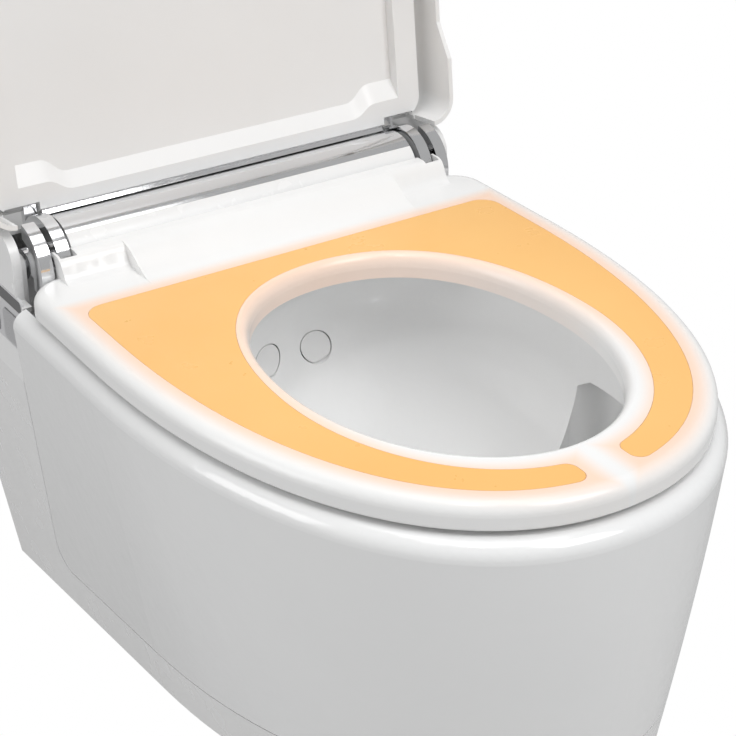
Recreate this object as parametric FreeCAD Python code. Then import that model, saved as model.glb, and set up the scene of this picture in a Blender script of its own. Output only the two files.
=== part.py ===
import FreeCAD, Part
import math
import os

# Wall-hung shower toilet with a heated seat, in millimetres.
# The origin lies on the wall, midway between the two wall bolts. +X is to the
# right for someone facing the toilet, +Z is up and the toilet points along -Y.

os.makedirs("parts", exist_ok=True)
V = FreeCAD.Vector
ACROSS = V(1, 0, 0)
UP = V(0, 0, 1)

# ---- driving dimensions -------------------------------------------------

# heights above the wall bolts
seat_top = 115.0
seat_depth = 18.0
seat_gap = 4.0
base_at_wall = -217.0
base_rise = 0.144
band_height = 38.0
ledge_depth = 20.0

# plan of the body, drafted from the rim down to the base
rim_half_width = 196.0
base_half_width = 148.0
straight_end = -278.0
rim_tip = -598.0
nose_lean = 33.0
nose_power = 2.2
rim_round = 12.0
body_levels = 3

# ceramic
ceramic_wall = 12.0
deck_thickness = 12.0
back_plate = 24.0
back_half_width = 140.0
seam_top_y = -158.0
seam_lean = 0.21
seam_corner = 18.0
seam_gap = 1.0

# bowl, from the rim opening down to the sump
bowl_centre = -390.0
bowl_half_width = 122.0
bowl_rear = -236.0
bowl_tip = -543.0
sump_floor = -152.0
sump_half_width = 44.0
arm_wall_y = -207.0
arm_height = 26.0

# wall connections
bolt_spacing = 180.0
bolt_hole_radius = 12.5
stud_radius = 6.5
outlet_drop = 100.0
outlet_radius = 51.0
outlet_bore = 42.0
outlet_set_back = 5.0
outlet_length = 50.0
collar_step = 6.0
inlet_rise = 35.0
inlet_bore = 27.5
inlet_wall = 8.0
duct_radius = 15.0
trap_bore = 34.0
trap_wall = 9.0
weir_rise = 78.0
mouth_round = 14.0

# hinge
hinge_y = -134.0
hinge_z = seat_top
barrel_radius = 28.5
barrel_half_length = 146.0
barrel_wall = 4.0
barrel_gap = 1.5
trim_start = 30.0
strip_start = 126.0
trim_thickness = 2.0
shaft_radius = 5.0
shaft_clearance = 0.05
hub_radius = 11.0
strap_inner = 20.0
strap_outer = 31.5
lid_strap_start = 149.0
strap_width = 9.5
arm_gap = 5.0
arm_block_rear = -214.0
slot_radius = 36.5
arm_room_gap = 0.4
slot_side = 1.4
cheek_gap = 1.6
cheek_thickness = 3.8
cheek_radius = 8.4
lid_open_angle = 97.0

# seat
seat_half_width = 188.5
seat_rear = -162.0
seat_corner = 28.0
seat_tip = -587.0
seat_edge_round = 9.0
seat_foot_round = 2.0
seat_shell = 3.0
strip_rise = 16.0
strip_front = -166.0
strip_slope = 20.0
strip_rear = -146.0
seat_heel = 14.0
seat_heel_front = -173.5
ramp_half_width = 112.0
ramp_slope = 46.0
hole_half_width = 108.0
hole_centre = -390.0
hole_rear = -251.5
hole_tip = -532.5
hole_round = 6.5
hole_lip = 10.0
seat_base_thickness = 3.0

# heating zone let into the seat top
zone_half_width = 170.0
zone_rear = -220.0
zone_tip = -573.0
zone_corner = 15.0
zone_depth = 1.2
zone_inner_half_width = 119.0
zone_inner_rear = -244.0
zone_inner_tip = -552.5
zone_inner_centre = -400.0
zone_break = 34.0
zone_end_round = 8.0
zone_line = 0.25
mat_thickness = 0.6

# lid, heights given above the seat top with the lid closed
lid_half_width = 196.0
lid_tip = -596.0
lid_lobe_rear = -162.5
lid_middle_rear = -151.0
lid_wall = 3.5
lid_low = -10.0
lid_high = 38.0
lid_band = 17.5
lid_recess = 9.5
lid_corner = 20.0
lid_round = 14.0
panel_half_width = 182.0
panel_tip = -578.0
panel_border = 20.0
panel_sheet = 3.0
lid_step_y = -174.0
lid_step_slope = 11.0
lid_pad_y = -183.0
lid_pad_slope = 14.0
lid_pad_start = 130.0
lid_pad_turn = 12.0
rail_inner = 31.0
rail_outer = 35.0
rail_start = 118.0
rail_end = 146.0
lid_notch_radius = 40.0
lid_notch_end = 174.5
lid_lobe_start = 177.0
lid_skirt_rear = -213.0
lid_skirt_front = -240.0
lid_skirt_rise = 3.0
tongue_low = 22.0
tongue_high = 28.0
tongue_end = -188.0

# side covers and rear housing
cover_half_width = 186.0
cover_lip = 7.0
ear_front = -145.0
ear_rise = 24.0
ear_round = 18.0
cover_wall = 4.0
wall_gap = 1.0
housing_half_width = 177.5
housing_wall = 3.0
housing_rise = 11.0
housing_front = -160.0
top_cover_front = -105.0
top_cover_arm_front = -101.0
deck_opening = 51.0
screw_radius = 2.5
screw_x = 134.0
screw_clearance = 0.1
screw_head = 5.0
screw_length = 19.0

# spray arm and dryer arm
arm_offset = 21.0
arm_tilt = 18.0
arm_radius = 8.5
arm_length = 172.0
arm_cap_radius = 11.5
arm_cap_depth = 8.0
arm_hole_radius = 12.5
guide_wall_gap = 0.3
arm_clearance = 0.3
guide_start = 10.0
guide_length = 112.0
guide_bridge_y = -92.0

# control panel on the left side cover
panel_front = -155.0
panel_length = 128.0
panel_top = -18.0
panel_height = 44.0
panel_depth = 2.0
panel_edge = 0.25
panel_margin = 1.5
window_height = 9.0
window_depth = 1.0
button_count = 3
button_width = 26.0
button_height = 24.0
button_pitch = 36.0
button_first = -134.0
button_low = -59.0
button_stand = 1.2
button_gap = 0.4
button_lip = 2.0

# pads
pad_radius = 7.0
lid_pad_radius = 4.0
rest_gap = 0.3

# ---- values worked out from the driving dimensions ----------------------

rim_top = seat_top - seat_depth - seat_gap
ledge_top = rim_top - ledge_depth
hinge_point = V(0, hinge_y, hinge_z)
lid_strap_end = lid_strap_start + strap_width
seat_strap_start = lid_strap_end + arm_gap
seat_strap_end = seat_strap_start + strap_width
cheek_start = seat_strap_end + cheek_gap
cheek_end = cheek_start + cheek_thickness
slot_start = lid_strap_start - slot_side
slot_end = lid_strap_end + slot_side
strip_half_width = (slot_end + seat_strap_start) / 2.0
seat_break = hinge_y - slot_radius
seat_bottom = seat_top - seat_depth
housing_top = seat_top + housing_rise
tray_top = ledge_top + housing_wall
guide_radius = arm_hole_radius - guide_wall_gap
guide_bore = arm_radius + arm_clearance
reach = 700.0


# ---- drawing helpers ----------------------------------------------------

def quarter(start, corner, end, power):
    """Quarter of a rounded oval that leaves two lines through a corner."""
    pull = (8.0 * 2.0 ** (-1.0 / power) - 4.0) / 3.0
    curve = Part.BezierCurve()
    curve.setPoles([start, start + (corner - start) * pull, end + (corner - end) * pull, end])
    return curve.toShape()


def half_oval(half_width, centre, end, power, z):
    """Half of a rounded oval, from the right side over its end to the left side."""
    tip = V(0, end, z)
    first = quarter(V(half_width, centre, z), V(half_width, end, z), tip, power)
    second = quarter(tip, V(-half_width, end, z), V(-half_width, centre, z), power)
    return [first, second]


def d_outline(z, half_width, rear, tip, power=nose_power, turn_y=straight_end):
    """Square at the back, straight along the sides and round at the nose."""
    right = Part.makeLine(V(half_width, rear, z), V(half_width, turn_y, z))
    nose = half_oval(half_width, turn_y, tip, power, z)
    left = Part.makeLine(V(-half_width, turn_y, z), V(-half_width, rear, z))
    back = Part.makeLine(V(-half_width, rear, z), V(half_width, rear, z))
    return Part.Wire([right] + nose + [left, back])


def egg_outline(z, half_width, centre, rear, tip, rear_power=2.2, front_power=2.0):
    """Closed egg outline made of a rear half and a front half."""
    front = half_oval(half_width, centre, tip, front_power, z)
    back = half_oval(-half_width, centre, rear, rear_power, z)
    return Part.Wire(front + back)


def prism(outline, height):
    """Solid of a closed outline drawn upwards by a height."""
    return Part.Face(outline).extrude(V(0, 0, height))


def box(x0, x1, y0, y1, z0, z1):
    """Box between two corners."""
    return Part.makeBox(x1 - x0, y1 - y0, z1 - z0, V(x0, y0, z0))


def rod(radius, start, way, length):
    """Round bar from a point along a direction."""
    return Part.makeCylinder(radius, length, start, way)


def side_prism(points, x0, x1):
    """Solid of a polygon drawn in the side view (y, z), from x0 to x1."""
    corners = [V(x0, y, z) for y, z in points]
    return Part.Face(Part.makePolygon(corners + corners[:1])).extrude(V(x1 - x0, 0, 0))


def on_arc(radius, degrees, x=0.0):
    """Point about the hinge: 0 degrees is towards the wall, 90 is up."""
    angle = math.radians(degrees)
    return V(x, hinge_y + radius * math.cos(angle), hinge_z + radius * math.sin(angle))


def arc_band(x0, x1, inner, outer, start, end):
    """Part of a ring about the hinge axis, between two angles."""
    middle = (start + end) / 2.0
    edges = [
        Part.Arc(on_arc(outer, start, x0), on_arc(outer, middle, x0), on_arc(outer, end, x0)).toShape(),
        Part.makeLine(on_arc(outer, end, x0), on_arc(inner, end, x0)),
        Part.Arc(on_arc(inner, end, x0), on_arc(inner, middle, x0), on_arc(inner, start, x0)).toShape(),
        Part.makeLine(on_arc(inner, start, x0), on_arc(outer, start, x0)),
    ]
    return Part.Face(Part.Wire(edges)).extrude(V(x1 - x0, 0, 0))


def hinge_rod(x0, x1, radius):
    """Round bar on the hinge axis."""
    return rod(radius, V(x0, hinge_y, hinge_z), ACROSS, x1 - x0)


def mirrored(shape):
    """The same shape on the other side of the middle plane."""
    return shape.mirror(V(0, 0, 0), ACROSS)


def both_sides(shape):
    """A shape and its mirror image, joined."""
    return shape.fuse(mirrored(shape))


def soften(shape, radius, chosen):
    """Round the edges for which chosen(edge) is true."""
    edges = [edge for edge in shape.Edges if chosen(edge)]
    return shape.makeFillet(radius, edges)


def level(edge, z, tolerance=0.01):
    """True for an edge that lies flat at one height."""
    return abs(edge.BoundBox.ZMin - z) < tolerance and abs(edge.BoundBox.ZMax - z) < tolerance


def upright(edge):
    """True for a straight upright edge."""
    size = edge.BoundBox
    return size.ZLength > 0.1 and size.XLength < 0.01 and size.YLength < 0.01


def plain(shape):
    """One solid, or a compound of solids."""
    if len(shape.Solids) == 1:
        return shape.Solids[0]
    return Part.makeCompound(shape.Solids)


def opened(shape):
    """Turn a lid piece drawn closed to the open position, where it rests."""
    turned = shape.copy()
    turned.rotate(hinge_point, ACROSS * -1, lid_open_angle)
    return turned


# ---- body form shared by the ceramic and its covers ---------------------

def body_outline(z, inset=0.0, rear=0.0):
    """Outline of the drafted body at one height, moved in by an inset."""
    share = (rim_top - z) / (rim_top - base_at_wall)
    half_width = rim_half_width - share * (rim_half_width - base_half_width) - inset
    tip = rim_tip + nose_lean * max(share, 0.0) ** 1.5 + inset
    return d_outline(z, half_width, rear, tip)


def body_solid(high, inset=0.0, rear=0.0):
    """Drafted body from below the base up to a height."""
    low = base_at_wall - 1.0
    outlines = []
    for step in range(body_levels + 1):
        outlines.append(body_outline(low + (high - low) * step / body_levels, inset, rear))
    return Part.makeLoft(outlines, True, False)


def base_height(y, above=0.0):
    """Height of the sloping underside at a distance from the wall."""
    return base_at_wall + above - base_rise * y


def below_base(above=0.0):
    """Everything under the sloping base, or under a line parallel to it."""
    points = [
        (10.0, base_height(10.0, above)),
        (-reach, base_height(-reach, above)),
        (-reach, base_at_wall - reach),
        (10.0, base_at_wall - reach),
    ]
    return side_prism(points, -reach, reach)


def ceramic_side(gap=0.0):
    """Side view of the visible ceramic: ahead of the seam and above the band."""
    top = rim_top + 60.0
    front = -reach
    seam_high = seam_top_y + gap + seam_lean * (rim_top - top)
    corner_y = seam_top_y + gap + seam_lean * (rim_top - base_height(seam_top_y, band_height))
    corner_z = base_height(corner_y, band_height) - gap
    points = [
        (front, top),
        (seam_high, top),
        (corner_y, corner_z),
        (front, base_height(front, band_height) - gap),
    ]
    region = side_prism(points, -reach, reach)
    return soften(region, seam_corner, lambda edge: abs(edge.CenterOfMass.y - corner_y) < 0.01
                  and abs(edge.CenterOfMass.z - corner_z) < 0.01)


# ---- ceramic bowl -------------------------------------------------------

def bowl_form(grow, top):
    """Inside of the bowl, or its outer skin when grown by the wall."""
    back_depth = rim_top - arm_height
    outlines = [
        egg_outline(top, bowl_half_width + grow, bowl_centre, bowl_rear + grow, bowl_tip - grow),
        egg_outline(arm_height + back_depth / 2.0, bowl_half_width + 2.0 + grow, bowl_centre,
                    bowl_rear + 24.0 + grow, bowl_tip - 3.0 - grow),
        egg_outline(arm_height, bowl_half_width - 1.0 + grow, bowl_centre + 4.0,
                    arm_wall_y + grow, bowl_tip + 3.0 - grow),
        egg_outline(-22.0, bowl_half_width - 22.0 + grow, bowl_centre + 20.0,
                    arm_wall_y - 21.0 + grow, bowl_tip + 34.0 - grow),
        egg_outline(-72.0, sump_half_width + 24.0 + grow, bowl_centre + 48.0,
                    arm_wall_y - 45.0 + grow, bowl_tip + 98.0 - grow),
        egg_outline(-116.0, sump_half_width + 8.0 + grow, bowl_centre + 66.0,
                    arm_wall_y - 58.0 + grow, bowl_tip + 154.0 - grow),
        egg_outline(sump_floor - grow, sump_half_width - 6.0 + grow / 2.0, bowl_centre + 70.0,
                    arm_wall_y - 66.0 + grow / 2.0, bowl_tip + 182.0 - grow / 2.0),
    ]
    return Part.makeLoft(outlines, True, False)


def trap_tube(radius):
    """Trapway: back out of the sump, up over the weir and down to the outlet."""
    outlet_z = -outlet_drop
    points = [
        V(0, arm_wall_y - 95.0, sump_floor + trap_bore),
        V(0, arm_wall_y - 36.0, sump_floor + trap_bore),
        V(0, -172.0, outlet_z + weir_rise - 12.0),
        V(0, -130.0, outlet_z + weir_rise),
        V(0, -82.0, outlet_z),
    ]
    tube = Part.makeSphere(radius, points[0])
    for start, end in zip(points, points[1:]):
        way = end - start
        tube = tube.fuse(rod(radius, start, way, way.Length)).fuse(Part.makeSphere(radius, end))
    return tube


def flush_duct(radius):
    """Flush water way: in at the wall, round the right side, out near the front."""
    inlet_z = inlet_rise
    points = [
        V(0, -46.0, inlet_z),
        V(84.0, -96.0, inlet_z),
        V(146.0, -190.0, inlet_z - 4.0),
        V(156.0, -290.0, inlet_z - 26.0),
        V(150.0, -350.0, inlet_z - 44.0),
        V(138.0, -404.0, inlet_z - 57.0),
    ]
    duct = None
    for start, end in zip(points, points[1:]):
        way = end - start
        piece = rod(radius, start, way, way.Length).fuse(Part.makeSphere(radius, end))
        duct = piece if duct is None else duct.fuse(piece)
    return duct


def flush_mouth():
    """Recess in the right bowl wall where the flush water turns in."""
    outline = [
        V(93.0, -392.0, 0),
        V(120.0, -390.0, 0),
        V(148.0, -398.0, 0),
        V(150.0, -432.0, 0),
        V(114.0, -480.0, 0),
        V(76.0, -508.0, 0),
        V(64.0, -496.0, 0),
    ]
    low = V(0, 0, -42.0)
    floor = Part.makePolygon([point + low for point in outline + outline[:1]])
    mouth = Part.Face(floor).extrude(V(0, 0, 112.0))
    mouth = soften(mouth, mouth_round, lambda edge: upright(edge) and edge.CenterOfMass.x > 147.0)
    slope = side_prism([(-380.0, 38.0), (-404.0, 54.0), (-470.0, 63.0), (-520.0, 67.0), (-520.0, 140.0),
                        (-380.0, 140.0)], 0.0, 200.0)
    return mouth.cut(slope)


def flush_mouth_wall():
    """Block of ceramic round the flush recess, inside the outer wall."""
    block = box(66.0, 164.0, -500.0, -378.0, -52.0, rim_top - 4.0)
    block = soften(block, 20.0, upright)
    return block.common(body_solid(rim_top - 1.0, 1.0))


def arm_way(x):
    """Start point and direction of a spray or dryer arm at the bowl wall."""
    tilt = math.radians(arm_tilt)
    return V(x, arm_wall_y, arm_height), V(0, -math.cos(tilt), -math.sin(tilt))


def ceramic_bowl():
    """One glazed casting: walls, rim, bowl, trapway, flush duct and back plate."""
    skin = body_solid(rim_top).common(ceramic_side())
    skin = soften(skin, rim_round, lambda edge: level(edge, rim_top)
                  and edge.BoundBox.YMin < seam_top_y - 1.0)
    hollow = body_solid(ledge_top - deck_thickness, ceramic_wall)
    shell = skin.cut(hollow)
    bowl = bowl_form(ceramic_wall, rim_top - 2.0)
    back = box(-back_half_width, back_half_width, -back_plate, 0, -150.0, ledge_top)
    deck = box(-back_half_width, back_half_width, -210.0, 0, ledge_top - deck_thickness, ledge_top)
    ribs = both_sides(box(outlet_radius + 10.0, outlet_radius + 22.0, -200.0, -10.0, -60.0, ledge_top - 4.0))
    trap = trap_tube(trap_bore + trap_wall)
    outlet = rod(outlet_radius, V(0, -96.0, -outlet_drop), V(0, 1, 0), 96.0)
    collar = rod(outlet_radius + collar_step, V(0, -96.0, -outlet_drop), V(0, 1, 0), 96.0 - outlet_length)
    duct = flush_duct(duct_radius + 8.0)
    stub = rod(inlet_bore + inlet_wall, V(0, -60.0, inlet_rise), V(0, 1, 0), 60.0)
    body = shell
    for piece in (bowl, back, deck, ribs, trap, outlet, collar, duct, stub, flush_mouth_wall()):
        body = body.fuse(piece)
    ledge = box(-reach, reach, seam_top_y - 36.0, reach, ledge_top, reach)
    rim_side = both_sides(box(rim_half_width - 12.0, reach, seam_top_y - 40.0, seam_top_y + 3.0, 0.0, reach))
    body = body.cut(ledge.cut(rim_side))
    body = body.cut(bowl_form(0.0, rim_top + 0.01))
    body = body.cut(trap_tube(trap_bore))
    body = body.cut(flush_duct(duct_radius)).cut(flush_mouth())
    room = rod(outlet_radius + 20.0, V(0, -outlet_length, -outlet_drop), V(0, 1, 0), 60.0)
    body = body.cut(room.cut(rod(outlet_radius, V(0, -60.0, -outlet_drop), V(0, 1, 0), 80.0)))
    body = body.cut(rod(outlet_radius + 1.0, V(0, -outlet_set_back, -outlet_drop), V(0, 1, 0), 20.0))
    body = body.cut(rod(outlet_bore, V(0, -84.0, -outlet_drop), V(0, 1, 0), 90.0))
    body = body.cut(rod(inlet_bore, V(0, -50.0, inlet_rise), V(0, 1, 0), 60.0))
    for side in (-1, 1):
        bolt = V(side * bolt_spacing / 2.0, -back_plate - 10.0, 0)
        body = body.cut(rod(bolt_hole_radius, bolt, V(0, 1, 0), back_plate + 20.0))
        screw = V(side * screw_x, -back_plate - 5.0, 0)
        body = body.cut(rod(screw_radius + screw_clearance, screw, V(0, 1, 0), 19.0))
        start, way = arm_way(side * arm_offset)
        body = body.cut(rod(arm_hole_radius, start - way * 40.0, way, 60.0))
    opening = box(-deck_opening, deck_opening, -178.0, -back_plate - 8.0, ledge_top - 20.0, reach)
    body = body.cut(opening)
    body = body.cut(below_base())
    return body.cut(box(-reach, reach, 0.0, reach, -reach, reach))


def hinge_clear(radius, x0, x1):
    """Room round the hinge axis on both sides, between two distances from the middle."""
    return both_sides(hinge_rod(x0, x1, radius))


def side_curve(y0, z0, y1, z1):
    """S-shaped line in the side view, level at both ends."""
    curve = Part.BSplineCurve()
    middle = V(0, (y0 + y1) / 2.0, (z0 + z1) / 2.0)
    curve.interpolate(Points=[V(0, y0, z0), middle, V(0, y1, z1)], InitialTangent=V(0, 1, 0), FinalTangent=V(0, 1, 0))
    return curve.toShape()


def raised_step(half_width, y0, y1, rear, low, high, floor):
    """Block that swells up in an S-curve from one height to another."""
    edges = [
        side_curve(y0, low, y1, high),
        Part.makeLine(V(0, y1, high), V(0, rear, high)),
        Part.makeLine(V(0, rear, high), V(0, rear, floor)),
        Part.makeLine(V(0, rear, floor), V(0, y0, floor)),
        Part.makeLine(V(0, y0, floor), V(0, y0, low)),
    ]
    face = Part.Face(Part.Wire(edges))
    face.translate(V(-half_width, 0, 0))
    return face.extrude(V(2.0 * half_width, 0, 0))


# ---- side covers --------------------------------------------------------

def ear_block(inset):
    """Upper rear part of the side covers, round at its top front corner."""
    half_width = cover_half_width - inset
    front = ear_front + inset
    high = seat_top + ear_rise - inset
    block = box(-half_width, half_width, front, 0.0, ledge_top, high)
    return soften(block, ear_round - inset, lambda edge: level(edge, high)
                  and abs(edge.CenterOfMass.y - front) < 0.01)


def cover_form(inset):
    """Body outline held in at the sides, with the ears on top."""
    high = rim_top - inset
    sides = box(-cover_half_width + inset, cover_half_width - inset, -reach, reach, -reach, reach)
    return body_solid(high, inset).common(sides).fuse(ear_block(inset))


def side_covers():
    """Thin moulded covers: rear sides with ears, and a low band to the front."""
    skin = cover_form(0.0).cut(cover_form(cover_wall))
    lip = cover_half_width - cover_lip
    middle = box(-lip, lip, -reach, reach, ledge_top, reach)
    flange = both_sides(box(128.0, cover_half_width - 6.0, -back_plate - 6.0, -back_plate, -12.0, 12.0))
    skin = skin.cut(middle).fuse(flange)
    skin = skin.cut(ceramic_side(seam_gap)).cut(below_base())
    skin = skin.cut(box(-reach, reach, -wall_gap, reach, -reach, reach))
    for side in (-1, 1):
        hole = V(side * screw_x, -back_plate - 10.0, 0)
        skin = skin.cut(rod(screw_radius + screw_clearance, hole, V(0, 1, 0), 20.0))
    return skin


def cover_screws():
    """Two screws that hold the covers to the ceramic back plate."""
    screws = []
    for side in (-1, 1):
        head = V(side * screw_x, -back_plate - 9.0, 0)
        neck = V(side * screw_x, -back_plate - 7.0, 0)
        screw = rod(screw_head, head, V(0, 1, 0), 3.0)
        screws.append(screw.fuse(rod(screw_radius, neck, V(0, 1, 0), screw_length)))
    return Part.makeCompound(screws)


# ---- control panel ------------------------------------------------------

def panel_box(deep, out, grow):
    """Block on the left cover face over the panel area."""
    face = -cover_half_width
    rear = panel_front + panel_length
    low = seat_top + panel_top - panel_height
    block = box(face - out, face + deep, panel_front - grow, rear + grow, low - grow, seat_top + panel_top + grow)
    block = soften(block, 6.0 + grow, lambda edge: edge.BoundBox.XLength > deep + out - 0.1)
    return block.cut(ceramic_side(seam_gap + panel_margin - grow))


def window_box(deep, grow):
    """Dark window strip along the top of the panel."""
    high = seat_top + panel_top - 2.0
    block = box(-cover_half_width - 1.0, -cover_half_width + deep, panel_front + 2.0 - grow,
                panel_front + panel_length - 4.0 + grow, high - window_height - grow, high + grow)
    return soften(block, 3.0 + grow, lambda edge: edge.BoundBox.XLength > 1.5)


def button_box(number, grow, x0, x1):
    """Rounded block for one button, grown by a gap."""
    y = button_first + number * button_pitch
    low = seat_top + button_low
    block = box(x0, x1, y - button_width / 2.0 - grow, y + button_width / 2.0 + grow, low - grow, low + button_height + grow)
    return soften(block, 4.0 + grow, lambda edge: edge.BoundBox.XLength > 1.0)


def panel_button(number):
    """Push button with a lip behind the cover that keeps it in."""
    inner_face = -cover_half_width + cover_wall
    cap = button_box(number, 0.0, -cover_half_width - button_stand, inner_face + 0.5)
    lip = button_box(number, button_lip, inner_face + 0.3, inner_face + 1.8)
    return cap.fuse(lip)


# ---- rear housing and hinge ---------------------------------------------

def cheek():
    """Upright plate that carries one end of the hinge shaft."""
    plate = box(cheek_start, cheek_end, hinge_y - cheek_radius, hinge_y + 16.0, ledge_top, hinge_z)
    return plate.fuse(hinge_rod(cheek_start, cheek_end, cheek_radius))


def rear_housing():
    """Tray on the ceramic ledge with the hinge barrel, cheeks and rear wall."""
    tray = box(-housing_half_width, housing_half_width, housing_front, -wall_gap - 2.0, ledge_top, tray_top)
    tray = tray.cut(box(-deck_opening, deck_opening, housing_front - 1.0, -30.0, 0.0, tray_top + 1.0))
    rear = box(-housing_half_width, housing_half_width, -6.0, -3.0, ledge_top, housing_top - housing_wall)
    web_front = hinge_y - barrel_radius + 8.0
    webs = both_sides(box(deck_opening + 2.0, deck_opening + 6.0, web_front, -98.0, ledge_top, hinge_z))
    end_webs = both_sides(box(barrel_half_length - 4.0, barrel_half_length, web_front, -98.0, ledge_top, hinge_z))
    barrel = hinge_rod(-barrel_half_length, barrel_half_length, barrel_radius)
    body = tray.fuse([rear, webs, end_webs, barrel, both_sides(cheek())])
    room = hinge_rod(-barrel_half_length + barrel_wall, barrel_half_length - barrel_wall, barrel_radius - barrel_wall)
    inner = barrel_radius - trim_thickness
    recess = arc_band(-barrel_half_length - 1.0, barrel_half_length + 1.0, inner, barrel_radius + 5.0, trim_start, strip_start)
    body = body.cut([room, recess, hinge_rod(-200.0, 200.0, shaft_radius + shaft_clearance)])
    water = rod(14.0, V(-85.0, -10.0, tray_top + 12.0), V(0, 1, 0), 20.0)
    return body.cut([water, box(154.0, 178.0, -10.0, 0.0, tray_top, tray_top + 24.0)])


def hinge_trim():
    """Polished cover let into the top of the barrel."""
    inner = barrel_radius - trim_thickness
    return arc_band(-barrel_half_length, barrel_half_length, inner, barrel_radius, trim_start, strip_start)


def hinge_shaft():
    """Steel shaft through the barrel, the arms and both cheeks."""
    return hinge_rod(-cheek_end, cheek_end, shaft_radius)


def damper(x0, x1):
    """Soft-closing damper on the shaft inside the barrel."""
    body = hinge_rod(x0, x1, 18.0)
    for turn in (60.0, 180.0, 300.0):
        angle = math.radians(turn)
        rib = rod(3.0, V(x0, hinge_y + 18.0 * math.cos(angle), hinge_z + 18.0 * math.sin(angle)), ACROSS, x1 - x0)
        body = body.fuse(rib)
    foot = box(x0, x1, hinge_y - 5.0, hinge_y + 5.0, hinge_z - 24.0, hinge_z - 14.0)
    body = body.fuse(foot).common(hinge_rod(x0, x1, barrel_radius - barrel_wall - 0.3))
    return body.cut(hinge_rod(x0 - 1.0, x1 + 1.0, shaft_radius + shaft_clearance))


def top_cover():
    """Flat cover behind the barrel, between the ears."""
    plate = box(-housing_half_width, housing_half_width, top_cover_arm_front, -3.0, housing_top - housing_wall, housing_top)
    nose = box(-barrel_half_length, barrel_half_length, top_cover_front, top_cover_arm_front, housing_top - housing_wall, housing_top)
    rib = box(-barrel_half_length, barrel_half_length, -100.0, -97.0, hinge_z + seam_gap, housing_top)
    return plate.fuse([nose, rib])


# ---- seat ---------------------------------------------------------------

def hole_outline(z, grow):
    """Outline of the seat opening grown by an amount."""
    return egg_outline(z, hole_half_width + grow, hole_centre, hole_rear + grow, hole_tip - grow)


def hole_flare():
    """Upper part of the seat opening with its rounded lip."""
    outlines = []
    for step in range(5):
        turn = math.radians(22.5 * step)
        grow = hole_round * (1.0 - math.cos(turn))
        outlines.append(hole_outline(seat_top - hole_lip * (1.0 - math.sin(turn)), grow))
    return Part.makeLoft(outlines, True, False)


def seat_plan(z, inset):
    """Outer outline of the seat moved in."""
    return d_outline(z, seat_half_width - inset, seat_rear - inset, seat_tip + inset)


def zone_form(inset, z, height, end_round=zone_end_round):
    """U-shaped heating zone, open at the front."""
    outer = prism(d_outline(z, zone_half_width - inset, zone_rear - inset, zone_tip + inset), height)
    outer = soften(outer, zone_corner - inset, upright)
    inner = prism(egg_outline(z, zone_inner_half_width + inset, zone_inner_centre, zone_inner_rear + inset,
                              zone_inner_tip - inset), height)
    zone = outer.cut(inner)
    half = zone_break / 2.0 + inset
    zone = zone.cut(box(-half, half, -reach, zone_inner_centre, z - 1.0, z + height + 1.0))
    return soften(zone, end_round, lambda edge: upright(edge) and abs(edge.CenterOfMass.x) < half + 1.0)


def arm_slots(radius):
    """Openings in the seat for the lid arms."""
    slots = hinge_rod(slot_start, slot_end, radius)
    room = box(slot_start, slot_end, hinge_y - radius, 0.0, 0.0, hinge_z)
    return both_sides(slots.fuse(room))


def seat_shell_form():
    """Upper shell of the seat with the raised strip and the corner blocks behind it."""
    plate = prism(seat_plan(seat_bottom, 0.0), seat_depth)
    plate = soften(plate, seat_corner, upright)
    plate = soften(plate, seat_edge_round, lambda edge: level(edge, seat_top))
    plate = soften(plate, seat_foot_round, lambda edge: level(edge, seat_bottom))
    plate = plate.cut(prism(hole_outline(seat_bottom - 1.0, 0.0), seat_depth)).cut(hole_flare())
    high = seat_top + strip_rise
    low_y = strip_front - strip_slope
    strip = raised_step(strip_half_width, low_y, strip_front, strip_rear, seat_top, high, seat_bottom)
    ramp_y = strip_front - ramp_slope
    ramp = raised_step(ramp_half_width, ramp_y, strip_front, strip_rear, seat_top, high, seat_bottom)
    body = plate.fuse([strip, ramp])
    cavity = prism(seat_plan(seat_bottom - 1.0, seat_shell), seat_depth + 1.0 - seat_shell)
    cavity = soften(cavity, seat_corner - seat_shell, upright)
    cavity = soften(cavity, seat_edge_round - seat_shell, lambda edge: level(edge, seat_top - seat_shell))
    cavity = cavity.cut(prism(hole_outline(seat_bottom - 2.0, seat_shell), seat_depth + 5.0))
    body = body.cut(cavity.cut(box(-reach, reach, arm_block_rear, reach, 0.0, reach)))
    inner = raised_step(ramp_half_width - 4.0, ramp_y + 8.0, strip_front - 6.0, strip_front, seat_top - 4.0,
                        high - seat_shell, seat_bottom - 1.0)
    body = body.cut(inner.cut(behind_seat_break(seat_shell)))
    body = body.cut(hinge_rod(-strip_half_width - 1.0, strip_half_width + 1.0, barrel_radius + barrel_gap))
    under = box(-strip_half_width - 1.0, strip_half_width + 1.0, hinge_y - 22.0, 0.0, 0.0, hinge_z)
    heel = box(-strip_half_width - 1.0, strip_half_width + 1.0, seat_heel_front, 0.0, 0.0, seat_top - seat_heel)
    body = body.cut([under, heel, arm_slots(slot_radius)])
    body = body.cut(zone_form(0.0, seat_top - zone_depth, zone_depth + 1.0))
    arm_room = hinge_rod(seat_strap_start - arm_room_gap, seat_strap_end + arm_room_gap, strap_outer + arm_room_gap)
    return body.cut([both_sides(arm_lug(0.2)), both_sides(arm_room)])


def behind_seat_break(wall):
    """Everything behind the joint at the rear of the seat shell, or a wall ahead of it."""
    return box(-reach, reach, seat_break - wall, reach, 0.0, reach)


def between(distance):
    """Everything nearer to the middle plane than a distance."""
    return box(-distance, distance, -reach, reach, 0.0, reach)


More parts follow.
